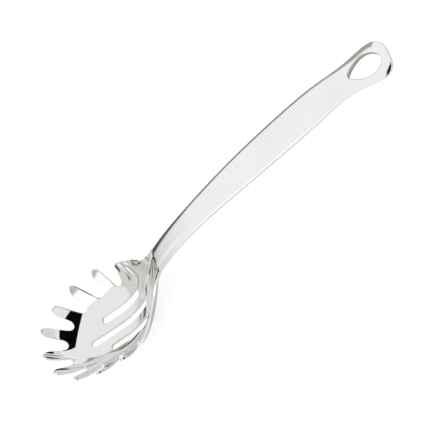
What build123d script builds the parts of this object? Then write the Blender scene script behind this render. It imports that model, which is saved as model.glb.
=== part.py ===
from build123d import *
from math import cos, degrees, exp, pi, radians, sin, sqrt
import os

os.makedirs("parts", exist_ok=True)

# Lengths are in millimetres and angles in degrees.
# The server is drawn with its tine tips on z = 0 and the handle running towards +x,
# then laid on its back so that the bowl and the far end of the handle rest on z = 0.

# Pressed head
head_sheet = 1.8
bowl_centre = 52.0
bowl_depth = 22.5
tip_reach = 51.3
tip_half_width = 36.6
rim_reach = 50.6
rim_half_width = 36.0
front_steepness = 2.93
side_steepness = 1.71
corner_blend = 1.695
over_rim = 1.6
back_turn = 1.45
back_fall = 1.1

# Neck between the bowl and the handle
neck_run = 62.5
neck_half_width = 9.4
crease_setback = 2.1
crease_round = 1.5
tang_length = 35.5
tang_step = 2.0
tang_round = 4.0
tang_step_setback = 0.5
tang_fit = 0.02

# Tines and the gaps between them
tines_per_side = 4
tine_step = 26.2
tine_step_loss = 0.7
tine_base_half_width = 3.9
tine_tip_half_width = 3.2
tip_squash = 0.62
gap_reach = 40.5
gap_half_width = 24.5
first_gap_angle = 14.0
gap_step = 28.3
gap_step_loss = 1.2
gap_round = 2.6
oval_power = 2.2

# Shoulder corners behind the last gaps
shoulder_run = 19.6
shoulder_half_width = 32.0
shoulder_round = 1.2
corner_gap_side = 3.4
corner_gap_width = 1.3
flank_shares = [(0.18, 0.14), (0.35, 0.36), (0.61, 0.79)]

# Drain slots, measured from the bowl's centre
slot_width = 5.2
mid_slot_front = 25.5
mid_slot_back = 29.6
side_slot_front = 11.8
side_slot_back = 24.8
side_slot_offset = 11.0

# Hollow handle
handle_length = 213.9
shell_sheet = 0.8
mouth_thickness = 3.8
grip_thickness = 5.2
loop_thickness = 3.5
thickening_run = 40.0
loop_thinning_run = 9.0
thinning_from_end = 53.4
grip_half_width = 12.9
grip_from_mouth = 129.5
grip_share = 0.6
taper_start = 35.5
waist_half_width = 10.8
waist_from_end = 31.4
loop_half_width = 13.8
loop_from_end = 7.9
loop_corner = 2.6
edge_radius = 1.5
lip_length = 4.0

# Arch of the handle seen from the side
arch_height = 18.40
arch_slope = 0.1607
arch_rise = 0.3632
arch_fade = 44.5
droop_from_end = 56.4
droop_rate = 0.0029

# Teardrop hang hole
hole_from_end = 5.4
hole_length = 23.0
hole_half_width = 7.9
hole_tip_half_width = 2.6
liner_wall = 0.9

# Places along the server that follow from these
mouth_x = bowl_centre + neck_run
tang_end = mouth_x + tang_length
tang_half_width = neck_half_width - tang_step
handle_end = mouth_x + handle_length
hole_end = handle_end - hole_from_end
hole_start = hole_end - hole_length
droop_start = handle_end - droop_from_end
crease_x = mouth_x - crease_setback
thin_x = handle_end - thinning_from_end
thinnest = min(mouth_thickness, grip_thickness, loop_thickness)
rim_radius = min(edge_radius, 0.45 * thinnest)

# Room that cutting shapes run past what they cut
spare = 6.0
tall = 120.0


def arch(x):
    # Middle of the handle's thickness, carried on straight towards the bowl
    run = x - mouth_x
    if run < 0:
        return arch_height + (arch_slope + arch_rise) * run
    curve = arch_rise * arch_fade * (1 - exp(-run / arch_fade))
    droop = droop_rate * max(0.0, x - droop_start) ** 2
    return arch_height + arch_slope * run + curve - droop


def arch_gradient(x):
    fade = arch_rise * exp(-max(0.0, x - mouth_x) / arch_fade)
    return arch_slope + fade - 2 * droop_rate * max(0.0, x - droop_start)


def tang_top(x):
    return arch(x) + head_sheet / 2 * sqrt(1 + arch_gradient(x) ** 2)


back_curve = (tang_top(crease_x) + bowl_depth) / (crease_x - bowl_centre) ** 2


def soft_min(a, b, width):
    return (a + b - sqrt((a - b) ** 2 + width ** 2)) / 2


def limit(value, ceiling):
    return value / (1 + (value / ceiling) ** 8) ** 0.125


def keel(x):
    # Height of the inside of the head along its middle line
    if x < bowl_centre:
        return inside_height(x, 0.0)
    back = back_curve * (x - bowl_centre) ** 2 - bowl_depth
    rounded = soft_min(back, tang_top(x), crease_round)
    share = min(1.0, max(0.0, (x - crease_x) / crease_setback))
    return rounded + (tang_top(x) - rounded) * share ** 2 * (3 - 2 * share)


def inside_height(x, y):
    # Height of the inside of the head anywhere above its plan outline
    if x < bowl_centre:
        along = (bowl_centre - x) / rim_reach
        across = abs(y) / rim_half_width
        level = (along ** front_steepness + across ** side_steepness) ** corner_blend
        return bowl_depth * (limit(level, over_rim) - 1)
    share = min(1.0, (x - bowl_centre) / neck_run)
    turn = min(1.0, share / 0.9) ** back_turn
    wall = rim_half_width - neck_half_width
    rim = neck_half_width + wall * (1 + cos(pi * turn)) / 2
    rise = bowl_depth * (1 - share ** back_fall)
    return keel(x) + rise * limit((abs(y) / rim) ** (side_steepness * corner_blend), over_rim)


def oval(angle, reach, half_width):
    c = cos(radians(angle))
    s = sin(radians(angle))
    power = 2 / oval_power
    sign = 1 if c >= 0 else -1
    return Vector(bowl_centre - sign * reach * abs(c) ** power, half_width * abs(s) ** power)


def tine_tip(k):
    return oval(tine_step * k - tine_step_loss * k ** 2, tip_reach, tip_half_width)


def gap_bottom(k):
    return oval(first_gap_angle + gap_step * k - gap_step_loss * k ** 2, gap_reach, gap_half_width)


def tine_edges(k):
    # Base and tip corners of a tine in plan, on the middle tine's side and on the neck's side
    tip = tine_tip(k)
    outer = gap_bottom(k)
    inner = gap_bottom(k - 1) if k > 0 else Vector(outer.X, -outer.Y)
    base = (outer + inner) * 0.5
    forward = (tip - base).normalized()
    side = Vector(forward.Y, -forward.X)
    shoulder = tip - forward * tine_tip_half_width * tip_squash * 1.25
    near = [base - side * tine_base_half_width, shoulder - side * tine_tip_half_width]
    far = [base + side * tine_base_half_width, shoulder + side * tine_tip_half_width]
    return near, tip, far, forward


def foot(side_line, bottom):
    # Where a tine's side meets the round bottom of the gap beside it
    base, end = side_line
    run = (end - base).normalized()
    return base + run * ((bottom - base).dot(run) + gap_round)


def tine_outline():
    # Edges from the middle tine's tip to the last gap on the +y side
    edges = []
    for k in range(tines_per_side + 1):
        near, tip, far, forward = tine_edges(k)
        if k == 0:
            edges.append(Edge.make_spline([tip, far[1]], tangents=[Vector(0, 1), -forward]))
        else:
            start = foot(near, gap_bottom(k - 1))
            edges.append(Edge.make_three_point_arc(last_foot, gap_bottom(k - 1), start))
            edges.append(Edge.make_line(start, near[1]))
            edges.append(Edge.make_spline([near[1], tip, far[1]], tangents=[forward, -forward]))
        last_foot = foot(far, gap_bottom(k))
        edges.append(Edge.make_line(far[1], last_foot))
    return edges, last_foot


def shoulder_outline(last_foot):
    # Last gap, shoulder corner and the flank that narrows to the neck
    bottom = gap_bottom(tines_per_side)
    corner = Vector(bowl_centre + shoulder_run, shoulder_half_width)
    out = (corner - bottom).normalized()
    across = Vector(out.Y, -out.X)
    front = bottom + out * corner_gap_side + across * corner_gap_width
    before = corner - (corner - front).normalized() * shoulder_round
    after = corner + Vector(shoulder_round, 0)
    run = mouth_x - corner.X
    fall = corner.Y - neck_half_width
    flank = [Vector(corner.X + u * run, corner.Y - v * fall) for u, v in flank_shares]
    neck = Vector(mouth_x - tang_step_setback, neck_half_width)
    leaving = Vector(1, -0.2)
    return [
        Edge.make_three_point_arc(last_foot, bottom, front),
        Edge.make_line(front, before),
        Edge.make_spline([before, after], tangents=[corner - front, leaving]),
        Edge.make_spline([after] + flank + [neck], tangents=[leaving, Vector(1, 0)]),
    ]


def tang_outline():
    # The neck steps in just before the mouth of the handle
    step_x = mouth_x - tang_step_setback
    step = Vector(step_x, tang_half_width)
    corner = Vector(tang_end - tang_round, tang_half_width)
    end = Vector(tang_end, 0)
    return [
        Edge.make_line(Vector(step_x, neck_half_width), step),
        Edge.make_line(step, corner),
        Edge.make_spline([corner, end], tangents=[Vector(1, 0), Vector(0, -1)]),
    ]


def mirrored_face(edges):
    half = Wire(edges)
    return Face(Wire(half.edges() + half.mirror(Plane.XZ).edges()))


def head_outline():
    tines, last_foot = tine_outline()
    return mirrored_face(tines + shoulder_outline(last_foot) + tang_outline())


def prism(face):
    return extrude(face, tall, dir=(0, 0, 1), both=True)


def slot(front, back, offset):
    shape = Pos(bowl_centre + (back - front) / 2, offset) * SlotOverall(front + back, slot_width)
    return prism(shape)


def head_surface():
    # Smooth surface through a grid of points on the inside of the head
    rows = 56
    columns = 37
    first = bowl_centre - tip_reach - spare
    last = tang_end + spare
    points = []
    for i in range(rows):
        x = first + (last - first) * i / (rows - 1)
        turn = min(1.0, max(0.0, (x - bowl_centre - 10) / (neck_run - 12)))
        wide = tip_half_width - neck_half_width
        reach = neck_half_width + 4 + wide * (1 + cos(pi * turn)) / 2
        across = [reach * (2 * j / (columns - 1) - 1) for j in range(columns)]
        points.append([Vector(x, y, inside_height(x, y)) for y in across])
    return Face.make_surface_from_array_of_points(points, tol=0.02, max_deg=3)


def make_head():
    sheet = head_surface() & prism(head_outline())
    sheet = sheet - slot(mid_slot_front, mid_slot_back, 0)
    for side in (1, -1):
        sheet = sheet - slot(side_slot_front, side_slot_back, side * side_slot_offset)
    face = sheet.faces()[0]
    outward = -1 if face.normal_at().Z > 0 else 1
    return Solid.thicken(face, outward * head_sheet)


def thickness(x):
    mouth_fade = exp(-(x - mouth_x) / thickening_run)
    loop_fade = 1 / (1 + exp(-(x - thin_x) / loop_thinning_run))
    grip = grip_thickness - (grip_thickness - mouth_thickness) * mouth_fade
    return grip - (grip_thickness - loop_thickness) * loop_fade


def arch_point(x, offset):
    slope = arch_gradient(x)
    size = sqrt(1 + slope ** 2)
    return Vector(x - slope * offset / size, 0, arch(x) + offset / size)


def side_band(start, low, high):
    # Slice that follows the arch, between two offsets from its middle line
    steps = 15
    end = handle_end + spare
    stations = [start + (end - start) * i / (steps - 1) for i in range(steps)]
    top = [arch_point(x, high(x)) for x in stations]
    bottom = [arch_point(x, low(x)) for x in stations]
    edges = [Edge.make_spline(top), Edge.make_line(top[-1], bottom[-1])]
    edges += [Edge.make_spline(bottom), Edge.make_line(bottom[0], top[0])]
    return extrude(Face(Wire(edges)), tall, dir=(0, 1, 0), both=True)


def handle_plan(inset):
    # Outline of the handle from above, drawn in from its outer edge
    start = mouth_x - spare
    grip_x = mouth_x + grip_from_mouth
    waist_x = handle_end - waist_from_end
    loop_x = handle_end - loop_from_end
    swell = grip_half_width - neck_half_width
    draw_in = grip_half_width - waist_half_width
    bulge = loop_half_width - waist_half_width
    swell_x = mouth_x + taper_start
    rise_x = swell_x + (grip_x - swell_x) * 0.4
    crown_x = swell_x + (grip_x - swell_x) * 0.7
    widths = [
        (start, neck_half_width),
        (swell_x, neck_half_width + 0.04 * swell),
        (rise_x, neck_half_width + 0.53 * swell),
        (crown_x, neck_half_width + 0.86 * swell),
        (grip_x, grip_half_width),
        (grip_x + (waist_x - grip_x) * grip_share, grip_half_width - 0.45 * draw_in),
        (waist_x, waist_half_width),
        (waist_x + (loop_x - waist_x) * 0.64, waist_half_width + 0.7 * bulge),
        (loop_x, loop_half_width),
        (handle_end - loop_corner, loop_half_width - loop_corner),
    ]
    points = [Vector(x, w - inset) for x, w in widths]
    points[-1] = points[-1] - Vector(0.7 * inset, 0)
    points.append(Vector(handle_end - inset, 0))
    side = Edge.make_spline(points, tangents=[Vector(1, 0), Vector(0, -1)])
    return mirrored_face([Edge.make_line(Vector(start, 0), points[0]), side])


def hole_plan(outset):
    # Teardrop with its narrow end towards the bowl, drawn out from the hole's own edge
    wide = hole_half_width + outset
    points = [
        Vector(hole_start - outset, 0),
        Vector(hole_start + 1.6 - 0.6 * outset, hole_tip_half_width + 0.8 * outset),
        Vector(hole_start + 0.3 * hole_length, 0.86 * hole_half_width + outset),
        Vector(hole_start + 0.61 * hole_length, wide),
        Vector(hole_end + outset, 0),
    ]
    return mirrored_face([Edge.make_spline(points, tangents=[Vector(0, 1), Vector(0, -1)])])


def tang_slot():
    # Room for the tang between the lips
    end = mouth_x + lip_length + spare
    plan = Pos((mouth_x - spare + end) / 2, 0) * Rectangle(end - mouth_x + spare, 2 * tang_half_width)
    reach = head_sheet / 2 + tang_fit
    return prism(plan) & side_band(mouth_x - spare, lambda x: -reach, lambda x: reach)


def make_handle():
    # Two stamped shells that meet at mid thickness, and the wall of the hang hole
    outer = prism(handle_plan(0)) & side_band(mouth_x, lambda x: -thickness(x) / 2, lambda x: thickness(x) / 2)
    rims = outer.edges().filter_by(lambda edge: edge.length > handle_length / 4)
    outer = fillet(rims, rim_radius)
    hole = prism(hole_plan(0))
    hollow = prism(handle_plan(shell_sheet)) & side_band(
        mouth_x + lip_length,
        lambda x: shell_sheet - thickness(x) / 2,
        lambda x: thickness(x) / 2 - shell_sheet,
    )
    liner = (prism(hole_plan(liner_wall)) - hole) & hollow
    wall = outer - hollow - hole - tang_slot()
    upper = wall & side_band(mouth_x - spare, lambda x: 0, lambda x: spare)
    lower = wall & side_band(mouth_x - spare, lambda x: -spare, lambda x: 0)
    return upper, lower, liner


def resting_angle():
    # Tilt that brings the underside of the bowl and of the far handle end level
    bowl = []
    for i in range(200):
        x = bowl_centre + (i / 100 - 1) * neck_run / 2
        slope = (keel(x + 0.01) - keel(x)) / 0.01
        size = sqrt(1 + slope ** 2)
        bowl.append((x + head_sheet * slope / size, keel(x) - head_sheet / size))
    tail = arch_point(handle_end - rim_radius, rim_radius - thickness(handle_end) / 2)
    low = 0.0
    high = 40.0
    for i in range(40):
        angle = radians((low + high) / 2)
        bowl_low = min(z * cos(angle) - x * sin(angle) for x, z in bowl)
        tail_low = tail.Z * cos(angle) - tail.X * sin(angle) - rim_radius
        if tail_low > bowl_low:
            low = degrees(angle)
        else:
            high = degrees(angle)
    return (low + high) / 2


head = make_head()
upper, lower, liner = make_handle()
pieces = {
    "head": head,
    "handle_upper_shell": upper,
    "handle_lower_shell": lower,
    "hang_hole_liner": liner,
}
angle = resting_angle()
laid = {name: Rot(0, angle, 0) * piece for name, piece in pieces.items()}
box = Compound(list(laid.values())).bounding_box()
shift = Vector(-(box.min.X + box.max.X) / 2, 0, -box.min.Z)
print("resting angle", angle, "shift", shift, "size", box.size)
for name, piece in laid.items():
    export_step(Pos(shift) * piece, "parts/" + name + ".step")
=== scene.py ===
import bpy
import numpy as np
from math import cos, exp, pi, radians, sin, sqrt
from mathutils import Matrix, Vector
from mathutils.geometry import delaunay_2d_cdt


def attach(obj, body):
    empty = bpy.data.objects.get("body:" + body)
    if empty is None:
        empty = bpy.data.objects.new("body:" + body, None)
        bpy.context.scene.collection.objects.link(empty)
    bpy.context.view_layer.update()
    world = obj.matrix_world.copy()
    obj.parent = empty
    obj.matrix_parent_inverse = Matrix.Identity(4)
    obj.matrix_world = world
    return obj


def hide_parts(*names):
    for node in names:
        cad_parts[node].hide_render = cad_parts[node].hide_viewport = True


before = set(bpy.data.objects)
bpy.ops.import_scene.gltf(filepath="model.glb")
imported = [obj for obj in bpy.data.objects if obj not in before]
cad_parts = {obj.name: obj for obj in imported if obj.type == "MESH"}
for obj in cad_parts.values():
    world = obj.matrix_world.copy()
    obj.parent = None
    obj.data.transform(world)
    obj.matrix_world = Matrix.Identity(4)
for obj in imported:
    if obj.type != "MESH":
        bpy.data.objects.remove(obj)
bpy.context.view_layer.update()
print("frame loaded, nodes:", sorted(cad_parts))

# The shapes below are worked out in millimetres, with the tine tips level and the middle
# tine's tip at x = 0. Each mesh is tilted and moved to its place on the table at the end.

lie = {
    "angle": 17.09624,      # in degrees, so that bowl and handle end both touch the table
    "shift": (-165.468, 0.0, 40.6685),
}

bowl = {
    "sheet": 1.8,
    "centre": 52.0,
    "depth": 22.5,
    "tipReach": 51.3,
    "tipHalfWidth": 36.6,
    "rimReach": 50.6,
    "rimHalfWidth": 36.0,
    "frontSteepness": 2.93,
    "sideSteepness": 1.71,
    "cornerBlend": 1.695,
    "overRim": 1.6,         # the surface levels off at this multiple of the depth
    "overRimTurn": 8,       # and this sharply
    "backTurn": 1.45,
    "backTurnShare": 0.9,   # of the neck's run, where the walls have drawn in
    "backFall": 1.1,
}

neck = {
    "run": 62.5,
    "halfWidth": 9.4,
    "creaseSetback": 2.1,
    "creaseRound": 1.5,
    "tangEnd": 126.0,       # the hidden end of the tang, just past the lips
    "tangHalfWidth": 7.4,
    "stepSetback": 0.5,
}

tines = {
    "perSide": 4,
    "step": 26.2,
    "stepLoss": 0.7,
    "baseHalfWidth": 3.9,
    "tipHalfWidth": 3.2,
    "squash": 0.62,         # how round the tip is, with a half circle at 1
    "tipRun": 1.25,         # and how far back its rounding starts
    "gapReach": 40.5,
    "gapHalfWidth": 24.5,
    "firstGap": 14.0,
    "gapStep": 28.3,
    "gapStepLoss": 1.2,
    "gapRound": 2.6,
    "ovalPower": 2.2,
}

shoulder = {
    "run": 19.6,
    "halfWidth": 32.0,
    "round": 1.2,
    "lean": (1, -0.2),      # direction of the outline just behind the corner
    "gapSide": 3.4,
    "gapWidth": 1.3,
    "flank": [(0.18, 0.14), (0.35, 0.36), (0.61, 0.79)],    # shares of run and fall to the neck
}

slots = {
    "width": 5.2,
    "middle": (25.5, 29.6, 0.0),    # reach to front and back of the bowl's centre, and offset
    "side": (11.8, 24.8, 11.0),
    "endSteps": 24,
}

handle = {
    "length": 213.9,
    "mouthThickness": 3.8,
    "gripThickness": 5.2,
    "loopThickness": 3.5,
    "thickeningRun": 40.0,
    "loopThinningRun": 9.0,
    "thinningFromEnd": 53.4,
    "archHeight": 18.40,
    "archSlope": 0.1607,
    "archRise": 0.3632,
    "archFade": 44.5,
    "droopFromEnd": 56.4,
    "droopRate": 0.0029,
    "gripHalfWidth": 12.9,
    "gripFromMouth": 129.5,
    "taperStart": 35.5,
    "swell": [(0.0, 0.04), (0.4, 0.53), (0.7, 0.86)],   # shares of the run and rise to the grip
    "waistHalfWidth": 11.3,
    "waistFromEnd": 31.4,
    "drawIn": (0.6, 0.45),      # the same from grip to waist
    "loopHalfWidth": 14.3,
    "loopFromEnd": 7.9,
    "spread": (0.64, 0.78),     # and from waist to loop
    "loopCorner": 2.6,
    "shellSheet": 0.8,
}

mouthX = bowl["centre"] + neck["run"]
handleEnd = mouthX + handle["length"]


def arch(x):
    run = x - mouthX
    if run < 0:
        return handle["archHeight"] + (handle["archSlope"] + handle["archRise"]) * run
    curve = handle["archRise"] * handle["archFade"] * (1 - exp(-run / handle["archFade"]))
    droop = handle["droopRate"] * max(0.0, x - handleEnd + handle["droopFromEnd"]) ** 2
    return handle["archHeight"] + handle["archSlope"] * run + curve - droop


def archGradient(x):
    fade = handle["archRise"] * exp(-max(0.0, x - mouthX) / handle["archFade"])
    droop = 2 * handle["droopRate"] * max(0.0, x - handleEnd + handle["droopFromEnd"])
    return handle["archSlope"] + fade - droop


def tangTop(x):
    return arch(x) + bowl["sheet"] / 2 * sqrt(1 + archGradient(x) ** 2)


creaseX = mouthX - neck["creaseSetback"]
backCurve = (tangTop(creaseX) + bowl["depth"]) / (creaseX - bowl["centre"]) ** 2


def limit(value, ceiling):
    # levels a value off softly below its ceiling
    turn = bowl["overRimTurn"]
    return value / (1 + (value / ceiling) ** turn) ** (1 / turn)


def keel(x):
    # height of the inside along the middle line, behind the bowl's centre
    back = backCurve * (x - bowl["centre"]) ** 2 - bowl["depth"]
    top = tangTop(x)
    soft = (back + top - sqrt((back - top) ** 2 + neck["creaseRound"] ** 2)) / 2
    share = min(1.0, max(0.0, (x - creaseX) / neck["creaseSetback"]))
    return soft + (top - soft) * share ** 2 * (3 - 2 * share)


def insideHeight(x, y):
    y = abs(y)
    if x < bowl["centre"]:
        along = (bowl["centre"] - x) / bowl["rimReach"]
        across = y / bowl["rimHalfWidth"]
        level = along ** bowl["frontSteepness"] + across ** bowl["sideSteepness"]
        return bowl["depth"] * (limit(level ** bowl["cornerBlend"], bowl["overRim"]) - 1)
    share = min(1.0, (x - bowl["centre"]) / neck["run"])
    turn = min(1.0, share / bowl["backTurnShare"]) ** bowl["backTurn"]
    wall = bowl["rimHalfWidth"] - neck["halfWidth"]
    rim = neck["halfWidth"] + wall * (1 + cos(pi * turn)) / 2
    rise = bowl["depth"] * (1 - share ** bowl["backFall"])
    power = bowl["sideSteepness"] * bowl["cornerBlend"]
    return keel(x) + rise * limit((y / rim) ** power, bowl["overRim"])


def insideNormal(x, y):
    # upward normal of the inside, from small steps either side
    step = 0.05
    dx = (insideHeight(x + step, y) - insideHeight(x - step, y)) / (2 * step)
    dy = (insideHeight(x, y + step) - insideHeight(x, y - step)) / (2 * step)
    return Vector((-dx, -dy, 1)).normalized()


# Curves seen from above, as lists of points

def smoothCurve(points, startDirection, endDirection, spacing, partSteps=None):
    # clamped cubic through the points, in steps of a length or a number of steps per part
    pts = np.array([tuple(p)[:2] for p in points], float)
    chords = np.linalg.norm(np.diff(pts, axis=0), axis=1)
    count = len(pts)
    system = np.zeros((count, count))
    target = np.zeros((count, 2))
    system[0, 0] = system[-1, -1] = 1
    target[0] = np.array(startDirection) / np.linalg.norm(startDirection)
    target[-1] = np.array(endDirection) / np.linalg.norm(endDirection)
    for i in range(1, count - 1):
        before, after = chords[i - 1], chords[i]
        system[i, i - 1] = after
        system[i, i] = 2 * (before + after)
        system[i, i + 1] = before
        rise = after * (pts[i] - pts[i - 1]) / before + before * (pts[i + 1] - pts[i]) / after
        target[i] = 3 * rise
    slopes = np.linalg.solve(system, target)
    result = []
    for i in range(count - 1):
        steps = partSteps or max(2, int(round(chords[i] / spacing)))
        for j in range(steps):
            u = j / steps
            a = 2 * u ** 3 - 3 * u ** 2 + 1
            b = (u ** 3 - 2 * u ** 2 + u) * chords[i]
            c = 3 * u ** 2 - 2 * u ** 3
            d = (u ** 3 - u ** 2) * chords[i]
            result.append(a * pts[i] + b * slopes[i] + c * pts[i + 1] + d * slopes[i + 1])
    return result  # without the last point


def straight(start, end, spacing):
    start, end = np.array(tuple(start)[:2]), np.array(tuple(end)[:2])
    steps = max(1, int(round(np.linalg.norm(end - start) / spacing)))
    return [start + (end - start) * i / steps for i in range(steps)]


def arcThrough(start, middle, end, spacing):
    a, b, c = (np.array(tuple(p)[:2], float) for p in (start, middle, end))
    d = 2 * (a[0] * (b[1] - c[1]) + b[0] * (c[1] - a[1]) + c[0] * (a[1] - b[1]))
    sa, sb, sc = a @ a, b @ b, c @ c
    centre = np.array([
        (sa * (b[1] - c[1]) + sb * (c[1] - a[1]) + sc * (a[1] - b[1])) / d,
        (sa * (c[0] - b[0]) + sb * (a[0] - c[0]) + sc * (b[0] - a[0])) / d,
    ])
    radius = np.linalg.norm(a - centre)
    angles = [np.arctan2(*(p - centre)[::-1]) for p in (a, b, c)]
    sweep = (angles[2] - angles[0]) % (2 * pi)
    if (angles[1] - angles[0]) % (2 * pi) > sweep:
        sweep -= 2 * pi
    steps = max(4, int(round(abs(sweep) * radius / spacing)))
    turns = [angles[0] + sweep * i / steps for i in range(steps)]
    return [centre + radius * np.array([cos(t), sin(t)]) for t in turns]


def ovalPoint(angle, reach, halfWidth):
    c, s = cos(radians(angle)), sin(radians(angle))
    power = 2 / tines["ovalPower"]
    sign = 1 if c >= 0 else -1
    return Vector((bowl["centre"] - sign * reach * abs(c) ** power, halfWidth * abs(s) ** power))


def tineTip(k):
    angle = tines["step"] * k - tines["stepLoss"] * k ** 2
    return ovalPoint(angle, bowl["tipReach"], bowl["tipHalfWidth"])


def gapBottom(k):
    angle = tines["firstGap"] + tines["gapStep"] * k - tines["gapStepLoss"] * k ** 2
    return ovalPoint(angle, tines["gapReach"], tines["gapHalfWidth"])


def tineEdges(k):
    tip = tineTip(k)
    outer = gapBottom(k)
    inner = gapBottom(k - 1) if k else Vector((outer.x, -outer.y))
    base = (outer + inner) / 2
    forward = (tip - base).normalized()
    side = Vector((forward.y, -forward.x))
    root = tip - forward * tines["tipHalfWidth"] * tines["squash"] * tines["tipRun"]
    near = [base - side * tines["baseHalfWidth"], root - side * tines["tipHalfWidth"]]
    far = [base + side * tines["baseHalfWidth"], root + side * tines["tipHalfWidth"]]
    return near, tip, far, forward


def foot(edge, bottom):
    # where a tine's straight edge ends and the round bottom of the gap begins
    base, end = edge
    run = (end - base).normalized()
    return base + run * ((bottom - base).dot(run) + tines["gapRound"])


def headOutline(spacing):
    # half of the outline, from the middle tine's tip to the hidden end of the tang
    points = []
    for k in range(tines["perSide"] + 1):
        near, tip, far, forward = tineEdges(k)
        if k == 0:
            points += smoothCurve([tip, far[1]], (0, 1), -forward, spacing / 2)
        else:
            start = foot(near, gapBottom(k - 1))
            points += arcThrough(lastFoot, gapBottom(k - 1), start, spacing / 2)
            points += straight(start, near[1], spacing)
            points += smoothCurve([near[1], tip, far[1]], forward, -forward, spacing / 2)
        lastFoot = foot(far, gapBottom(k))
        points += straight(far[1], lastFoot, spacing)
    bottom = gapBottom(tines["perSide"])
    corner = Vector((bowl["centre"] + shoulder["run"], shoulder["halfWidth"]))
    out = (corner - bottom).normalized()
    front = bottom + out * shoulder["gapSide"] + Vector((out.y, -out.x)) * shoulder["gapWidth"]
    before = corner - (corner - front).normalized() * shoulder["round"]
    after = corner + Vector((shoulder["round"], 0))
    run, fall = mouthX - corner.x, corner.y - neck["halfWidth"]
    flank = [Vector((corner.x + u * run, corner.y - v * fall)) for u, v in shoulder["flank"]]
    stepX = mouthX - neck["stepSetback"]
    end = Vector((stepX, neck["halfWidth"]))
    step = (stepX, neck["tangHalfWidth"])
    tang = (neck["tangEnd"], neck["tangHalfWidth"])
    points += arcThrough(lastFoot, bottom, front, spacing / 2)
    points += straight(front, before, spacing)
    points += smoothCurve([before, after], corner - front, shoulder["lean"], spacing / 3)
    points += smoothCurve([after] + flank + [end], shoulder["lean"], (1, 0), spacing)
    points += straight(end, step, spacing)
    points += straight(step, tang, spacing)
    points += straight(tang, (neck["tangEnd"], 0), spacing)
    return points


def wholeLoop(half):
    # adds the mirrored half to an outline that runs from middle line to middle line
    if abs(half[-1][1]) > 1e-6:
        half = half + [np.array([half[-1][0], 0.0])]
    other = [np.array([p[0], -p[1]]) for p in half[1:-1]]
    return [np.array(p) for p in half] + other[::-1]


def slotLoop(front, back, offset, spacing):
    half, steps = slots["width"] / 2, slots["endSteps"]
    low, high = bowl["centre"] - front + half, bowl["centre"] + back - half
    points = []
    for i in range(steps):
        turn = pi / 2 + pi * i / steps
        points.append(np.array([low + half * cos(turn), offset + half * sin(turn)]))
    points += straight((low, offset - half), (high, offset - half), spacing)
    for i in range(steps):
        turn = -pi / 2 + pi * i / steps
        points.append(np.array([high + half * cos(turn), offset + half * sin(turn)]))
    points += straight((high, offset + half), (low, offset + half), spacing)
    return points


def loopNormals(loop):
    # in-plan normals to the right of the run, which is outwards if it is anticlockwise
    pts = np.array(loop)
    before = pts - np.roll(pts, 1, axis=0)
    after = np.roll(pts, -1, axis=0) - pts
    before /= np.linalg.norm(before, axis=1)[:, None]
    after /= np.linalg.norm(after, axis=1)[:, None]
    tangent = before + after
    tangent /= np.linalg.norm(tangent, axis=1)[:, None]
    return np.stack([tangent[:, 1], -tangent[:, 0]], axis=1)


def signedArea(loop):
    pts = np.array(loop)
    nxt = np.roll(pts, -1, axis=0)
    return 0.5 * np.sum(pts[:, 0] * nxt[:, 1] - nxt[:, 0] * pts[:, 1])


def insideLoop(points, loop):
    # even-odd test for many points at once
    pts = np.array(loop)
    nxt = np.roll(pts, -1, axis=0)
    x, y = points[:, 0][:, None], points[:, 1][:, None]
    above = (pts[:, 1] > y) != (nxt[:, 1] > y)
    rise = nxt[:, 1] - pts[:, 1]
    rise[np.abs(rise) < 1e-12] = 1e-12
    crossing = (nxt[:, 0] - pts[:, 0]) * (y - pts[:, 1]) / rise + pts[:, 0]
    return (np.sum(above & (x < crossing), axis=1) % 2) == 1


def loopDistance(points, loop):
    pts = np.array(loop)
    best = np.full(len(points), 1e9)
    for a, b in zip(pts, np.roll(pts, -1, axis=0)):
        run = b - a
        t = np.clip(((points - a) @ run) / max(run @ run, 1e-12), 0, 1)
        best = np.minimum(best, np.linalg.norm(points - (a + t[:, None] * run), axis=1))
    return best


def nearestCloud(points, cloud):
    # distance from each point to the nearest of a cloud, a part of it at a time
    cloud = np.array(cloud)
    best = np.full(len(points), 1e9)
    batch = 200
    for start in range(0, len(cloud), batch):
        part = cloud[start:start + batch]
        gap = np.linalg.norm(points[:, None, :] - part[None, :, :], axis=2)
        best = np.minimum(best, gap.min(axis=1))
    return best


def withinSheet(points, loops):
    keep = insideLoop(points, loops[0])
    for hole in loops[1:]:
        keep &= ~insideLoop(points, hole)
    return keep


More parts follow.
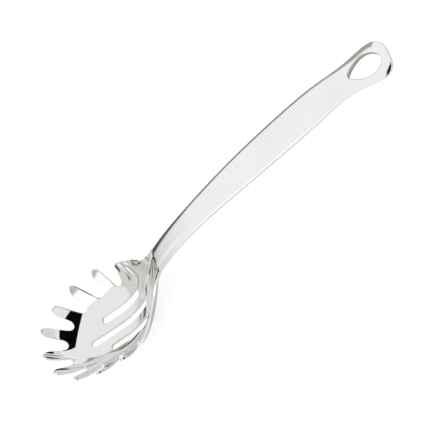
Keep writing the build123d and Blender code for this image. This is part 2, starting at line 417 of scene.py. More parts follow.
def planSheet(loops, gridStep, margin, extra=()):
    # triangles over the first loop less the others, through grid points and any extra ones
    outer = np.array(loops[0])
    low, high = outer.min(axis=0), outer.max(axis=0)
    xs = np.arange(low[0], high[0], gridStep)
    ys = np.arange(-gridStep * int(high[1] / gridStep + 1), high[1] + gridStep, gridStep)
    grid = np.array([(x, y) for x in xs for y in ys])
    if len(extra):
        clearance = 0.6 * gridStep
        grid = np.vstack([grid[nearestCloud(grid, extra) > clearance], np.array(extra)])
    grid = grid[withinSheet(grid, loops)]
    near = np.full(len(grid), 1e9)
    for loop in loops:
        near = np.minimum(near, loopDistance(grid, loop))
    points, edges, starts = [], [], []
    for loop in loops:
        start = len(points)
        starts.append(start)
        points += [Vector((float(p[0]), float(p[1]))) for p in loop]
        edges += [(start + i, start + (i + 1) % len(loop)) for i in range(len(loop))]
    points += [Vector((float(p[0]), float(p[1]))) for p in grid[near > margin]]
    verts, _, faces, origin, _, _ = delaunay_2d_cdt(points, edges, [], 0, 1e-6)
    source = [min(sources) if sources else None for sources in origin]
    centres = []
    for f in faces:
        centres.append((sum(verts[v].x for v in f) / 3, sum(verts[v].y for v in f) / 3))
    keep = withinSheet(np.array(centres), loops)
    plan = [(p.x, p.y) for p in points]
    upward = []
    for f, good in zip(faces, keep):
        f = [source[v] for v in f]
        if not good or None in f or len(set(f)) < 3:
            continue
        a, b, c = (Vector(plan[v]) for v in f)
        upward.append(f if (b - a).cross(c - a) > 0 else f[::-1])
    return plan, upward, starts


def laidPlace():
    turn = Matrix.Rotation(radians(lie["angle"]), 4, "Y")
    move = Matrix.Translation(Vector(lie["shift"]))
    return Matrix.Scale(0.001, 4) @ move @ turn


def ringFaces(a, b, flip=False):
    # quads between two closed rings of vertices
    quads = []
    for i in range(len(a)):
        j = (i + 1) % len(a)
        quad = [a[i], b[i], b[j], a[j]]
        quads.append(quad[::-1] if flip else quad)
    return quads


def meshObject(name, verts, faces, normals, material):
    mesh = bpy.data.meshes.new(name)
    place = laidPlace()
    mesh.from_pydata([place @ Vector(v) for v in verts], [], faces)
    mesh.shade_smooth()
    turn = place.to_3x3()
    directions = [(turn @ Vector(n)).normalized() for n in normals]
    mesh.normals_split_custom_set_from_vertices(directions)
    mesh.materials.append(material)
    piece = bpy.data.objects.new(name, mesh)
    bpy.context.scene.collection.objects.link(piece)
    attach(piece, "root")
    return piece


# Head: one pressed sheet with softly rounded cut edges

headLook = {
    "edgeRound": 0.32,      # radius left on the cut edges by tumbling and polishing
    "outlineStep": 0.9,
    "gridStep": 1.25,
    "gridMargin": 0.45,     # kept free of grid points along the edges
    "ringSteps": 3,
}


def sheetPoint(p, direction, depth, out):
    # a point so deep under the inside, moved out along the sheet in a plan direction
    normal = insideNormal(p[0], p[1])
    side = Vector((direction[0], direction[1], 0))
    side = (side - normal * side.dot(normal)).normalized()
    base = Vector((p[0], p[1], insideHeight(p[0], p[1])))
    return base - normal * depth + side * out, normal, side


def makeHead(material):
    step = headLook["outlineStep"]
    outer = wholeLoop(headOutline(step))
    if signedArea(outer) < 0:
        outer = outer[::-1]
    # the slots run the other way round, so that one rule points out of the metal
    loops = [outer]
    front, back, offset = slots["side"]
    for size in (slots["middle"], slots["side"], (front, back, -offset)):
        loops.append(slotLoop(*size, step)[::-1])
    radius = headLook["edgeRound"]
    inset, outward = [], []
    for loop in loops:
        directions = loopNormals(loop)
        outward.append(directions)
        inset.append([p - n * radius for p, n in zip(loop, directions)])
    plan, triangles, starts = planSheet(inset, headLook["gridStep"], headLook["gridMargin"])
    sheet = bowl["sheet"]
    under = len(plan)
    verts, normals = [], []
    for depth, facing in ((0, 1), (sheet, -1)):
        for x, y in plan:
            normal = insideNormal(x, y)
            verts.append(Vector((x, y, insideHeight(x, y))) - normal * depth)
            normals.append(normal * facing)
    faces = [list(f) for f in triangles]
    faces += [[under + v for v in f[::-1]] for f in triangles]
    ringSteps = headLook["ringSteps"]
    turns = [pi / 2 * (i + 1) / ringSteps for i in range(ringSteps)]
    levels = [(radius * sin(t), radius * (1 - cos(t)), t) for t in turns]
    levels += [(radius * sin(t), sheet - radius * (1 - cos(t)), pi - t) for t in turns[::-1]]
    for loop, directions, start in zip(inset, outward, starts):
        rings = [[start + i for i in range(len(loop))]]
        for out, depth, lean in levels:
            ring = []
            for p, direction in zip(loop, directions):
                place, normal, side = sheetPoint(p, direction, depth, out)
                ring.append(len(verts))
                verts.append(place)
                normals.append(normal * cos(lean) + side * sin(lean))
            rings.append(ring)
        rings.append([under + v for v in rings[0]])
        for a, b in zip(rings, rings[1:]):
            faces += ringFaces(a, b)
    piece = meshObject("polishedHead", verts, faces, normals, material)
    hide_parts("head")


# Handle: two stamped shells with softly domed edges, and the wall of the hang hole

handleLook = {
    # the first three are given at the mouth, the grip, the loop and the far end
    "rimReach": (6.2, 3.9, 5.2, 3.2),       # how far in the rounded rim reaches
    "rimShare": (0.74, 0.74, 0.86, 0.86),   # how much of the shell's height it takes
    "rimPower": (1.7, 1.6, 1.15, 1.8),      # 1 is a flat bevel and 2 an ellipse
    "blends": ((122.0, 165.0), (284.0, 312.0), (320.5, 326.5)),     # from each to the next
    "lipPower": 1.6,
    "lipReach": 0.8,            # the rounded edge of the hang hole
    "lipDrop": 0.45,
    "holeSteps": 12,            # in each of the eight parts of its outline
    "holeRows": (0.12, 0.4, 0.8),
    "rimRows": 9,
    "mouthSteps": 16,
    "mouthClear": 0.2,          # rows of points keep this far from the mouth
    "middleBand": 0.3,          # and fall on the middle line within this much of it
    "outlineStep": 1.3,
    "gridStep": 2.4,
    "gridMargin": 0.02,
    "seamStep": 4.0,
    "seamMargin": 0.6,
}

hangHole = {
    "fromEnd": 5.2,
    "length": 23.8,
    "halfWidth": 7.9,           # at halfWidthAt, and the outline swells to 8.3 nearer its tip
    "halfWidthAt": 0.72,        # of its length
    "flank": (0.3, 0.8),        # share of the length, and of the half width there
    "tip": (1.6, 2.6),          # a point beside the narrow end
    "tipGrowth": (0.6, 0.8),    # how that point moves when the outline is drawn wider
    "linerWall": 0.9,
}


def handleThickness(x):
    mouthFade = exp(-(x - mouthX) / handle["thickeningRun"])
    thinning = x - handleEnd + handle["thinningFromEnd"]
    loopFade = 1 / (1 + exp(-thinning / handle["loopThinningRun"]))
    grip = handle["gripThickness"] - (handle["gripThickness"] - handle["mouthThickness"]) * mouthFade
    return grip - (handle["gripThickness"] - handle["loopThickness"]) * loopFade


def handleSide(spacing):
    # one side of the handle's plan, from the mouth to the far end
    gripX = mouthX + handle["gripFromMouth"]
    waistX = handleEnd - handle["waistFromEnd"]
    loopX = handleEnd - handle["loopFromEnd"]
    swellX = mouthX + handle["taperStart"]
    mouth, grip = neck["halfWidth"], handle["gripHalfWidth"]
    waist, loop = handle["waistHalfWidth"], handle["loopHalfWidth"]
    corner = handle["loopCorner"]
    points = [(mouthX, mouth)]
    for u, v in handle["swell"]:
        points.append((swellX + (gripX - swellX) * u, mouth + v * (grip - mouth)))
    u, v = handle["drawIn"]
    points += [(gripX, grip), (gripX + (waistX - gripX) * u, grip - v * (grip - waist))]
    u, v = handle["spread"]
    points += [(waistX, waist), (waistX + (loopX - waistX) * u, waist + v * (loop - waist))]
    points += [(loopX, loop), (handleEnd - corner, loop - corner), (handleEnd, 0)]
    return smoothCurve(points, (1, 0), (0, -1), spacing) + [np.array([handleEnd, 0.0])]


def holeLoop(outset):
    # the hang hole's outline, drawn wider by an outset
    start = handleEnd - hangHole["fromEnd"] - hangHole["length"]
    end = start + hangHole["length"]
    tipX, tipY = hangHole["tip"]
    backward, sideways = hangHole["tipGrowth"]
    flankAt, flankShare = hangHole["flank"]
    fullX = start + hangHole["halfWidthAt"] * hangHole["length"]
    points = [
        (start - outset, 0),
        (start + tipX - backward * outset, tipY + sideways * outset),
        (start + flankAt * hangHole["length"], flankShare * hangHole["halfWidth"] + outset),
        (fullX, hangHole["halfWidth"] + outset),
        (end + outset, 0),
    ]
    steps = handleLook["holeSteps"]
    half = smoothCurve(points, (0, 1), (0, -1), 1, steps) + [np.array([end + outset, 0.0])]
    return half + [np.array([p[0], -p[1]]) for p in half[-2:0:-1]]


def blendAlong(x, values):
    # goes over from the mouth's value to the grip's, the loop's and the far end's
    result = values[0]
    for (low, high), value in zip(handleLook["blends"], values[1:]):
        share = min(1.0, max(0.0, (x - low) / (high - low)))
        result += (value - result) * share ** 2 * (3 - 2 * share)
    return result


def nearestOn(point, line):
    # distance to a line of points with the metal on its right, and the way out
    starts, runs, squares = line
    t = np.clip(np.sum((point - starts) * runs, axis=1) / squares, 0, 1)
    offset = starts + t[:, None] * runs - point
    distance = np.linalg.norm(offset, axis=1)
    best = int(np.argmin(distance))
    if distance[best] > 1e-3:
        return distance[best], offset[best] / distance[best]
    run = runs[best] / sqrt(squares[best])
    return 0.0, np.array([-run[1], run[0]])


def lineParts(points, closed):
    # starts, runs and squared lengths of the straight parts of a line
    pts = np.array(points)
    if closed:
        pts = np.vstack([pts, pts[:1]])
    runs = np.diff(pts, axis=0)
    return pts[:-1], runs, np.sum(runs ** 2, axis=1)


def archNormal(x):
    return Vector((-archGradient(x), 0, 1)).normalized()


def handlePlace(x, y, offset):
    # a point so far above or below mid thickness
    return Vector((x, y, arch(x) + offset * sqrt(1 + archGradient(x) ** 2)))


def rimDrop(x):
    return blendAlong(x, handleLook["rimShare"]) * handleThickness(x) / 2


def roundedEdge(distance, reach, drop, power):
    # fall of a softened quarter round at a distance in from the edge, and its normal
    s = min(1.0, max(0.0, 1 - distance / reach))
    rise = max(0.0, 1 - s ** power) ** (1 / power)
    out, up = s ** (power - 1) / reach, rise ** (power - 1) / drop
    size = sqrt(out * out + up * up)
    return drop * (1 - rise), out / size, up / size


def shellRows(side):
    # points in rows along the rim, closer together towards the edge, and round the hole
    extra = []
    rows = handleLook["rimRows"]
    middle = handleLook["middleBand"]
    directions = np.gradient(np.array(side), axis=0)
    directions /= np.linalg.norm(directions, axis=1)[:, None]
    for p, run in zip(side, directions):
        reach = blendAlong(p[0], handleLook["rimReach"])
        for row in range(1, rows + 1):
            inward = reach * (1 - cos(pi / 2 * row / rows))
            q = p + np.array([run[1], -run[0]]) * inward
            if q[0] < mouthX + handleLook["mouthClear"] or q[1] < -middle:
                continue
            if q[1] > middle:
                extra += [(q[0], q[1]), (q[0], -q[1])]
            else:
                extra.append((q[0], 0.0))
    for outset in handleLook["holeRows"]:
        extra += [tuple(p) for p in holeLoop(outset)]
    return extra


def shellPoint(x, y, up, rimLine, holeLine):
    # a point on the outside of a shell, its normal and the way out of the metal beside it
    point = np.array([x, y])
    rimDistance, outward = nearestOn(point, rimLine)
    holeDistance, holeOut = nearestOn(point, holeLine)
    reach = blendAlong(x, handleLook["rimReach"])
    power = blendAlong(x, handleLook["rimPower"])
    fall, out, rise = roundedEdge(rimDistance, reach, rimDrop(x), power)
    lipReach, lipDrop = handleLook["lipReach"], handleLook["lipDrop"]
    if holeDistance < lipReach:
        lip = roundedEdge(holeDistance, lipReach, lipDrop, handleLook["lipPower"])
        if lip[0] > fall:
            fall, out, rise = lip
            outward = holeOut
    upward = archNormal(x) * up
    sideways = Vector((outward[0], outward[1], 0))
    sideways = (sideways - upward * sideways.dot(upward)).normalized()
    place = handlePlace(x, y, up * (handleThickness(x) / 2 - fall))
    return place, (upward * rise + sideways * out).normalized(), sideways


def makeShell(name, up, material):
    # up is 1 for the upper shell and -1 for the lower one
    side = handleSide(handleLook["outlineStep"])
    otherSide = [np.array([p[0], -p[1]]) for p in side[-2::-1]]
    mouthSteps = handleLook["mouthSteps"]
    mouthLine = []
    for i in range(mouthSteps - 1, 0, -1):
        mouthLine.append(np.array([mouthX, neck["halfWidth"] * (1 - 2 * i / mouthSteps)]))
    outline = side + otherSide + mouthLine
    rimLine = lineParts(side + otherSide, False)
    hole = holeLoop(0)
    holeLine = lineParts(hole[::-1], True)
    margin = handleLook["gridMargin"]
    loops = [outline, hole]
    plan, triangles, starts = planSheet(loops, handleLook["gridStep"], margin, shellRows(side))
    verts, normals, outs = [], [], []
    for x, y in plan:
        place, normal, sideways = shellPoint(x, y, up, rimLine, holeLine)
        verts.append(place)
        normals.append(normal)
        outs.append(sideways)
    faces = [f if up > 0 else f[::-1] for f in triangles]

    def addPoint(x, y, offset, direction):
        verts.append(handlePlace(x, y, offset))
        normals.append(direction)
        return len(verts) - 1

    # the upright wall under the rim and across the mouth, down to the seam
    mouthStart = len(side) + len(otherSide)
    directions = outs[:mouthStart] + [Vector((-1, 0, 0))] * len(mouthLine)
    top = []
    for i, direction in enumerate(directions):
        top.append(len(verts))
        verts.append(verts[i].copy())
        normals.append(direction)
    seam = [addPoint(*plan[i], 0.0, direction) for i, direction in enumerate(directions)]
    faces += ringFaces(top, seam, (up < 0) != (signedArea(outline) < 0))

    # the flat face that closes the shell at the seam
    inner = holeLoop(hangHole["linerWall"])
    loops = [outline, inner]
    seamPlan, seamTriangles, _ = planSheet(loops, handleLook["seamStep"], handleLook["seamMargin"])
    seamFace = len(verts)
    for x, y in seamPlan:
        addPoint(x, y, 0.0, archNormal(x) * -up)
    for f in seamTriangles:
        f = [seamFace + v for v in f]
        faces.append(f[::-1] if up > 0 else f)

    # the recess round the hang hole that takes its wall
    def roof(x):
        return up * (handleThickness(x) / 2 - handle["shellSheet"])

    lip = [starts[1] + i for i in range(len(hole))]
    deep = [addPoint(*plan[i], roof(plan[i][0]), outs[i]) for i in lip]
    ledge = [addPoint(x, y, roof(x), archNormal(x) * -up) for x, y in inner]
    sole = [addPoint(x, y, 0.0, archNormal(x) * -up) for x, y in inner]
    for a, b in ((lip, deep), (deep, ledge), (ledge, sole)):
        faces += ringFaces(a, b, (up > 0) != (signedArea(hole) < 0))
    piece = meshObject(name, verts, faces, normals, material)
    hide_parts("handle_upper_shell" if up > 0 else "handle_lower_shell")


def makeLiner(material):
    # the upright wall of the hang hole, between the two shells
    hole = holeLoop(0)
    outer = holeLoop(hangHole["linerWall"])
    sheet = handle["shellSheet"]
    verts, normals, faces, rings = [], [], [], []
    inward = -loopNormals(hole) if signedArea(hole) > 0 else loopNormals(hole)
    for loop, sign in ((hole, 1), (outer, -1)):
        for level in (1, -1):
            ring = []
            for p, n in zip(loop, inward):
                ring.append(len(verts))
                verts.append(handlePlace(p[0], p[1], level * (handleThickness(p[0]) / 2 - sheet)))
                normals.append(Vector((sign * n[0], sign * n[1], 0)))
            rings.append(ring)
    order = [rings[0], rings[1], rings[3], rings[2]]
    for a, b in zip(order, order[1:] + order[:1]):
        faces += ringFaces(a, b, signedArea(hole) > 0)
    piece = meshObject("hangHoleWall", verts, faces, normals, material)
    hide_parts("hang_hole_liner")


# Materials

def addNode(tree, kind, at, **values):
    node = tree.nodes.new(kind)
    node.location = at
    for key, value in values.items():
        setattr(node, key, value)
    return node


def addSocket(group, name, kind, direction="INPUT"):
    group.interface.new_socket(name, in_out=direction, socket_type="NodeSocket" + kind)


grainLook = {
    "detail": 3,
    "low": 0.3,     # the noise between these two is spread over the whole range
    "high": 0.7,
    "bumpDepth": 0.0001,
}

cloudLook = {
    "detail": 4,
    "roughness": 0.55,
    "low": 0.35,
    "high": 0.7,
}


def grainGroup():
    # fine rubbed lines along one direction, as a value and a height
    group = bpy.data.node_groups.new("RubbedGrain", "ShaderNodeTree")
    for name in ("Along", "Across", "Low", "High"):
        addSocket(group, name, "Float")
    addSocket(group, "Value", "Float", "OUTPUT")
    addSocket(group, "Height", "Float", "OUTPUT")
    inputs = addNode(group, "NodeGroupInput", (-900, 0))
    outputs = addNode(group, "NodeGroupOutput", (500, 0))
    place = addNode(group, "ShaderNodeTexCoord", (-900, 300))
    scale = addNode(group, "ShaderNodeCombineXYZ", (-650, 0))
    stretch = addNode(group, "ShaderNodeVectorMath", (-450, 150), operation="MULTIPLY")
    noise = addNode(group, "ShaderNodeTexNoise", (-250, 150))
    noise.inputs["Scale"].default_value = 1
    noise.inputs["Detail"].default_value = grainLook["detail"]
    spread = addNode(group, "ShaderNodeMapRange", (50, 150))
    spread.inputs["From Min"].default_value = grainLook["low"]
    spread.inputs["From Max"].default_value = grainLook["high"]
    links = group.links
    links.new(inputs.outputs["Along"], scale.inputs[0])
    links.new(inputs.outputs["Across"], scale.inputs[1])
    links.new(inputs.outputs["Across"], scale.inputs[2])
    links.new(place.outputs["Object"], stretch.inputs[0])
    links.new(scale.outputs[0], stretch.inputs[1])
    links.new(stretch.outputs[0], noise.inputs["Vector"])
    links.new(noise.outputs["Fac"], spread.inputs["Value"])
    links.new(inputs.outputs["Low"], spread.inputs["To Min"])
    links.new(inputs.outputs["High"], spread.inputs["To Max"])
    links.new(spread.outputs["Result"], outputs.inputs["Value"])
    links.new(noise.outputs["Fac"], outputs.inputs["Height"])
    return group


def handledGroup():
    # broad cloudy wipe marks, as a mask from 0 to 1 and a tinted colour
    group = bpy.data.node_groups.new("HandledSteel", "ShaderNodeTree")
    addSocket(group, "Scale", "Float")
    addSocket(group, "Clean", "Color")
    addSocket(group, "Wiped", "Color")
    addSocket(group, "Mask", "Float", "OUTPUT")
    addSocket(group, "Colour", "Color", "OUTPUT")
    inputs = addNode(group, "NodeGroupInput", (-900, 0))
    outputs = addNode(group, "NodeGroupOutput", (500, 0))
    place = addNode(group, "ShaderNodeTexCoord", (-900, 300))
    noise = addNode(group, "ShaderNodeTexNoise", (-600, 150))
    noise.inputs["Detail"].default_value = cloudLook["detail"]
    noise.inputs["Roughness"].default_value = cloudLook["roughness"]
    spread = addNode(group, "ShaderNodeMapRange", (-300, 150))
    spread.inputs["From Min"].default_value = cloudLook["low"]
    spread.inputs["From Max"].default_value = cloudLook["high"]
    mix = addNode(group, "ShaderNodeMix", (0, 0), data_type="RGBA")
    links = group.links
    links.new(place.outputs["Object"], noise.inputs["Vector"])
    links.new(inputs.outputs["Scale"], noise.inputs["Scale"])
    links.new(noise.outputs["Fac"], spread.inputs["Value"])
    links.new(spread.outputs["Result"], mix.inputs["Factor"])
    links.new(inputs.outputs["Clean"], mix.inputs["A"])
    links.new(inputs.outputs["Wiped"], mix.inputs["B"])
    links.new(spread.outputs["Result"], outputs.inputs["Mask"])
    links.new(mix.outputs["Result"], outputs.inputs["Colour"])
    return group


def steelMaterial(name, look, grain, handled):
    # bare steel, whose roughness follows the grain and the wipe marks
    material = bpy.data.materials.new(name)
    material.use_nodes = True
    tree = material.node_tree
    shader = tree.nodes["Principled BSDF"]
    shader.inputs["Metallic"].default_value = 1
    wipe = addNode(tree, "ShaderNodeGroup", (-700, 200), node_tree=handled)
    wipe.inputs["Scale"].default_value = look["cloudScale"]
    wipe.inputs["Clean"].default_value = (*look["clean"], 1)
    wipe.inputs["Wiped"].default_value = (*look["wiped"], 1)
    rubbed = addNode(tree, "ShaderNodeGroup", (-700, -100), node_tree=grain)
    sockets = {"Along": "along", "Across": "across", "Low": "lowRough", "High": "highRough"}
    for socket, key in sockets.items():
        rubbed.inputs[socket].default_value = look[key]
    bump = addNode(tree, "ShaderNodeBump", (-350, -250))
    bump.inputs["Strength"].default_value = look["bump"]
    bump.inputs["Distance"].default_value = grainLook["bumpDepth"]
    add = addNode(tree, "ShaderNodeMath", (-350, 50), operation="MULTIPLY_ADD")
    add.inputs[1].default_value = look["cloudRough"]
    links = tree.links
    links.new(wipe.outputs["Colour"], shader.inputs["Base Color"])
    links.new(wipe.outputs["Mask"], add.inputs[0])
    links.new(rubbed.outputs["Value"], add.inputs[2])
    links.new(add.outputs[0], shader.inputs["Roughness"])
    links.new(rubbed.outputs["Height"], bump.inputs["Height"])
    links.new(bump.outputs["Normal"], shader.inputs["Normal"])
    return material


polishedLook = {
    "clean": (0.85, 0.845, 0.84),
    "wiped": (0.82, 0.815, 0.81),
    "cloudScale": 40,
    "cloudRough": 0.02,
    "along": 300,
    "across": 900,
    "lowRough": 0.025,
    "highRough": 0.05,
    "bump": 0.02,
}

satinLook = {
    "clean": (0.93, 0.93, 0.93),
    "wiped": (0.89, 0.89, 0.89),
    "cloudScale": 25,
    "cloudRough": 0.04,
    "along": 40,
    "across": 2200,
    "lowRough": 0.09,
    "highRough": 0.17,
    "bump": 0.08,
}

# the hang hole's wall: rougher steel, with its colour darkened as painted shade for the hollow
shadedWallLook = {
    "clean": (0.50, 0.50, 0.49),
    "wiped": (0.42, 0.42, 0.41),
    "cloudScale": 60,
    "cloudRough": 0.05,
    "along": 300,
    "across": 300,
    "lowRough": 0.22,
    "highRough": 0.34,
    "bump": 0.05,
}

grain = grainGroup()
handled = handledGroup()
polishedSteel = steelMaterial("Mirror polished steel", polishedLook, grain, handled)
satinSteel = steelMaterial("Satin steel", satinLook, grain, handled)
shadedWallSteel = steelMaterial("Rougher inner steel with painted shade", shadedWallLook, grain, handled)
print("materials made")

makeHead(polishedSteel)
print("head made")
makeShell("handleUpperShell", 1, satinSteel)
makeShell("handleLowerShell", -1, satinSteel)
makeLiner(shadedWallSteel)
print("handle made")


# Stage, light and camera

stage = {
    "floorSize": 6.0,
    "floorDrop": 0.0002,
    "floorColour": (0.9, 0.9, 0.9),
    "floorGlow": 0.79,          # what the camera sees: a glow, and a part that takes shadows
    "floorShade": (0.34, 0.34, 0.34),
    "mirroredGlow": 0.12,       # the same for what the metal sees
    "mirroredShade": (0.80, 0.79, 0.76),
    "worldStrength": 0.86,
    "ceiling": (0.95, 0.945, 0.95),     # the room as the metal sees it, under the patches below
}

# Parts of the room that the metal mirrors: where they are on the compass, how far up they
# reach in degrees, how soft their edges are and how bright they are.

farGap = {
    "azimuth": 140, "halfWidth": 12, "low": -12, "high": 20, "soft": 9,
    "light": (0.05, 0.05, 0.045),
}

gripGap = {
    "azimuth": 108, "halfWidth": 26, "low": -12, "high": 20, "soft": 5,
    "light": (0.08, 0.075, 0.065),
}

farGlow = {
    "azimuth": 140, "halfWidth": 34, "low": 8, "high": 34, "soft": 14,
    "light": (0.76, 0.755, 0.74),
}

headSideWall = {
    "azimuth": -172, "halfWidth": 30, "low": -5, "high": 47, "soft": 8,
    "light": (0.75, 0.735, 0.70),
}

loopHaze = {
    "azimuth": 94, "halfWidth": 15, "low": 4, "high": 29, "soft": 7,
    "light": (0.35, 0.345, 0.30),
}

nearHaze = {
    "azimuth": -98, "halfWidth": 30, "low": -4, "high": 16, "soft": 2,
    "light": (0.57, 0.57, 0.565),
}

nearLamp = {
    "azimuth": -98, "halfWidth": 30, "low": 17, "high": 34, "soft": 3,
    "light": (1.18, 1.18, 1.18),
}

gripLamp = {
    "azimuth": -112, "halfWidth": 28, "low": 29, "high": 43, "soft": 5,
    "light": (1.6, 1.6, 1.6),
}

# Each is laid over the ones before it
roomPatches = [headSideWall, farGlow, farGap, gripGap, loopHaze, nearHaze, nearLamp, gripLamp]

darkCard = {
    "from": (-0.150, 0.012, 0.020),     # the spot on the head that the card is set out from
    "distance": 0.9,
    "facing": -32.0,
    "colour": (0.002, 0.002, 0.004),
    "corners": [    # across and up, in shares of the distance
        (-0.9, 1.36), (-0.9, 0.62), (-0.65, 0.50), (0.087, 0.14),
        (0.34, 0.10), (1.1, 0.12), (1.1, 1.17),
    ],
}

# painted shade: a dark wedge lying on the table that only the metal mirrors
mirroredShadeWedge = {
    "from": (-0.051, 0.0),      # below the handle's mouth
    "near": 0.09,
    "far": 1.5,
    "turn": (132.0, 162.0),
    "height": 0.0004,
    "colour": (0.04, 0.04, 0.038),
}


def seenDirectly(tree):
    # 1 for what the camera, a reflection or a see-through surface looks at
    path = addNode(tree, "ShaderNodeLightPath", (-900, 500))
    first = addNode(tree, "ShaderNodeMath", (-600, 500), operation="MAXIMUM")
    second = addNode(tree, "ShaderNodeMath", (-400, 500), operation="MAXIMUM")
    tree.links.new(path.outputs["Is Camera Ray"], first.inputs[0])
    tree.links.new(path.outputs["Is Glossy Ray"], first.inputs[1])
    tree.links.new(first.outputs[0], second.inputs[0])
    tree.links.new(path.outputs["Is Transmission Ray"], second.inputs[1])
    return second.outputs[0]


def roomThing(name, corners, materialName):
    # a flat thing of the stage and the empty node tree of its material
    mesh = bpy.data.meshes.new(name)
    mesh.from_pydata(corners, [], [list(range(len(corners)))])
    thing = bpy.data.objects.new(name, mesh)
    bpy.context.scene.collection.objects.link(thing)
    material = bpy.data.materials.new(materialName)
    material.use_nodes = True
    material.node_tree.nodes.clear()
    mesh.materials.append(material)
    return thing, material.node_tree


def litPaper(tree, glow, shade, at):
    # an even glow over a part that takes shadows
    matt = addNode(tree, "ShaderNodeBsdfDiffuse", at)
    matt.inputs["Color"].default_value = (*shade, 1)
    shine = addNode(tree, "ShaderNodeEmission", (at[0], at[1] + 150))
    shine.inputs["Strength"].default_value = glow
    both = addNode(tree, "ShaderNodeAddShader", (at[0] + 300, at[1] + 100))
    tree.links.new(matt.outputs[0], both.inputs[0])
    tree.links.new(shine.outputs[0], both.inputs[1])
    return both.outputs[0]


def makeFloor():
    half, low = stage["floorSize"] / 2, -stage["floorDrop"]
    corners = [(-half, -half, low), (half, -half, low), (half, half, low), (-half, half, low)]
    _, tree = roomThing("paleFloor", corners, "Pale paper")
    output = addNode(tree, "ShaderNodeOutputMaterial", (800, 0))
    paper = addNode(tree, "ShaderNodeBsdfDiffuse", (-200, -200))
    paper.inputs["Color"].default_value = (*stage["floorColour"], 1)
    seen = litPaper(tree, stage["floorGlow"], stage["floorShade"], (-200, 0))
    mirrored = litPaper(tree, stage["mirroredGlow"], stage["mirroredShade"], (-200, 450))
    path = addNode(tree, "ShaderNodeLightPath", (-200, 900))
    choose = addNode(tree, "ShaderNodeMixShader", (300, 200))
    pick = addNode(tree, "ShaderNodeMixShader", (500, 0))
    links = tree.links
    links.new(path.outputs["Is Glossy Ray"], choose.inputs[0])
    links.new(seen, choose.inputs[1])
    links.new(mirrored, choose.inputs[2])
    links.new(seenDirectly(tree), pick.inputs[0])
    links.new(paper.outputs[0], pick.inputs[1])
    links.new(choose.outputs[0], pick.inputs[2])
    links.new(pick.outputs[0], output.inputs["Surface"])


def softStep(tree, value, low, high, at):
    # goes smoothly from 0 to 1 as the value goes from low to high
    step = addNode(tree, "ShaderNodeMapRange", at, interpolation_type="SMOOTHSTEP")
    step.inputs["From Min"].default_value = low
    step.inputs["From Max"].default_value = high
    tree.links.new(value, step.inputs["Value"])
    return step


def degreesBand(tree, height, low, high, soft, at):
    # 1 between two heights in degrees, with soft edges
    ends = [sin(radians(angle)) for edge in (low, high) for angle in (edge - soft / 2, edge + soft / 2)]
    rise = softStep(tree, height, ends[0], ends[1], at)
    fall = softStep(tree, height, ends[2], ends[3], (at[0], at[1] - 250))
    fall.inputs["To Min"].default_value = 1
    fall.inputs["To Max"].default_value = 0
    both = addNode(tree, "ShaderNodeMath", (at[0] + 200, at[1]), operation="MULTIPLY")
    tree.links.new(rise.outputs["Result"], both.inputs[0])
    tree.links.new(fall.outputs["Result"], both.inputs[1])
    return both.outputs[0]


def roomPatch(tree, level, flat, height, patch, at):
    # lays one patch of the room over the light level worked out so far
    turn, soft = radians(patch["azimuth"]), patch["soft"]
    toward = addNode(tree, "ShaderNodeVectorMath", at, operation="DOT_PRODUCT")
    toward.inputs[1].default_value = (cos(turn), sin(turn), 0)
    ends = [cos(radians(patch["halfWidth"] + spread)) for spread in (soft / 2, -soft / 2)]
    side = softStep(tree, toward.outputs["Value"], *ends, (at[0] + 200, at[1]))
    band = degreesBand(tree, height, patch["low"], patch["high"], soft, (at[0], at[1] - 250))
    mask = addNode(tree, "ShaderNodeMath", (at[0] + 450, at[1]), operation="MULTIPLY")
    mix = addNode(tree, "ShaderNodeMix", (at[0] + 650, at[1]), data_type="RGBA")
    mix.inputs["B"].default_value = (*patch["light"], 1)
    links = tree.links
    links.new(flat, toward.inputs[0])
    links.new(side.outputs["Result"], mask.inputs[0])
    links.new(band, mask.inputs[1])
    links.new(mask.outputs[0], mix.inputs["Factor"])
    links.new(level, mix.inputs["A"])
    return mix.outputs["Result"]


def makeWorld():
    world = bpy.data.worlds.new("Softbox room")
    bpy.context.scene.world = world
    world.use_nodes = True
    tree = world.node_tree
    tree.nodes.clear()
    links = tree.links
    output = addNode(tree, "ShaderNodeOutputWorld", (900, 0))
    room = addNode(tree, "ShaderNodeBackground", (300, -200))
    room.inputs["Color"].default_value = (1, 1, 1, 1)
    room.inputs["Strength"].default_value = stage["worldStrength"]
    sky = addNode(tree, "ShaderNodeBackground", (300, 100))
    place = addNode(tree, "ShaderNodeTexCoord", (-2600, 0))
    parts = addNode(tree, "ShaderNodeSeparateXYZ", (-2400, 0))
    flatten = addNode(tree, "ShaderNodeVectorMath", (-2400, -200), operation="MULTIPLY")
    flatten.inputs[1].default_value = (1, 1, 0)
    flat = addNode(tree, "ShaderNodeVectorMath", (-2200, -200), operation="NORMALIZE")
    ceiling = addNode(tree, "ShaderNodeRGB", (-2200, 200))
    ceiling.outputs[0].default_value = (*stage["ceiling"], 1)
    links.new(place.outputs["Generated"], parts.inputs[0])
    links.new(place.outputs["Generated"], flatten.inputs[0])
    links.new(flatten.outputs[0], flat.inputs[0])
    level = ceiling.outputs[0]
    for i, patch in enumerate(roomPatches):
        level = roomPatch(tree, level, flat.outputs[0], parts.outputs["Z"], patch, (-2000, -600 * i))
    links.new(level, sky.inputs["Color"])
    pick = addNode(tree, "ShaderNodeMixShader", (600, 0))
    links.new(seenDirectly(tree), pick.inputs[0])
    links.new(room.outputs[0], pick.inputs[1])
    links.new(sky.outputs[0], pick.inputs[2])
    links.new(pick.outputs[0], output.inputs["Surface"])


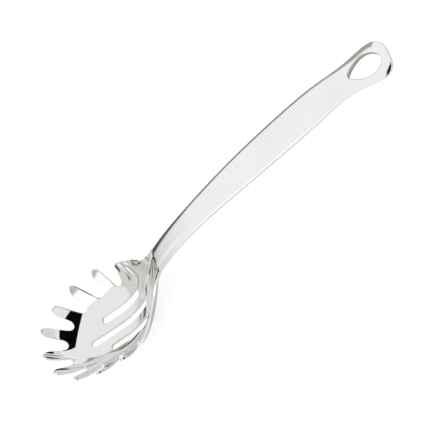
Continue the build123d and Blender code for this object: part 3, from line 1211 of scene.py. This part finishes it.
def mirroredThing(name, corners, materialName, colour):
    # a thing of the room in one flat tone, which only the metal sees
    thing, tree = roomThing(name, corners, materialName)
    output = addNode(tree, "ShaderNodeOutputMaterial", (300, 0))
    tone = addNode(tree, "ShaderNodeEmission", (0, 0))
    tone.inputs["Color"].default_value = (*colour, 1)
    tree.links.new(tone.outputs[0], output.inputs["Surface"])
    thing.visible_camera = False
    thing.visible_diffuse = False
    thing.visible_shadow = False
    thing.visible_transmission = False


def makeDarkCard():
    # a dark flag beside the camera, for the black patch at the front of the bowl
    turn = radians(darkCard["facing"])
    out = Vector((cos(turn), sin(turn), 0))
    across = Vector((-sin(turn), cos(turn), 0))
    start = Vector(darkCard["from"])
    corners = []
    for u, h in darkCard["corners"]:
        corners.append(start + darkCard["distance"] * (out + across * u + Vector((0, 0, h))))
    mirroredThing("darkCard", corners, "Black flag cloth", darkCard["colour"])


def makeMirroredShadeWedge():
    # a dark wedge of painted shade on the table, which only the metal mirrors, for the dark crease at
    # the handle's mouth
    x, y = mirroredShadeWedge["from"]
    near, far, height = mirroredShadeWedge["near"], mirroredShadeWedge["far"], mirroredShadeWedge["height"]
    first, last = (radians(angle) for angle in mirroredShadeWedge["turn"])
    corners = []
    for reach, turn in ((near, first), (near, last), (far, last), (far, first)):
        corners.append(Vector((x + reach * cos(turn), y + reach * sin(turn), height)))
    mirroredThing("mirroredShadeWedge", corners, "Painted shade on the table", mirroredShadeWedge["colour"])


# The camera that was fitted to the picture, in the millimetre frame of the shapes

view = {
    "eye": (594.689, -713.290, 1016.889),
    "right": (0.77799302, -0.29955113, -0.55226441),
    "down": (-0.53427042, -0.77794966, -0.33068029),
    "forward": (-0.33057825, 0.5523255, -0.76528071),
    "focal": 2000.0,        # in pixels of the picture
    "picture": 423,         # its width in pixels
    "sensor": 36,
    "clip": (0.05, 50),
}


def makeCamera():
    data = bpy.data.cameras.new("Photo view")
    camera = bpy.data.objects.new("Photo view", data)
    bpy.context.scene.collection.objects.link(camera)
    data.sensor_width = view["sensor"]
    data.lens = view["focal"] * view["sensor"] / view["picture"]
    data.clip_start, data.clip_end = view["clip"]
    tilt = Matrix.Rotation(radians(lie["angle"]), 3, "Y")
    right = tilt @ Vector(view["right"])
    up = tilt @ -Vector(view["down"])
    back = tilt @ -Vector(view["forward"])
    basis = Matrix((right, up, back)).transposed().to_4x4()
    place = laidPlace() @ Vector(view["eye"])
    camera.matrix_world = Matrix.Translation(place) @ basis
    bpy.context.scene.camera = camera


makeFloor()
makeWorld()
makeDarkCard()
makeMirroredShadeWedge()
makeCamera()
bpy.context.scene.view_settings.view_transform = "Standard"
print("stage, light and camera made")
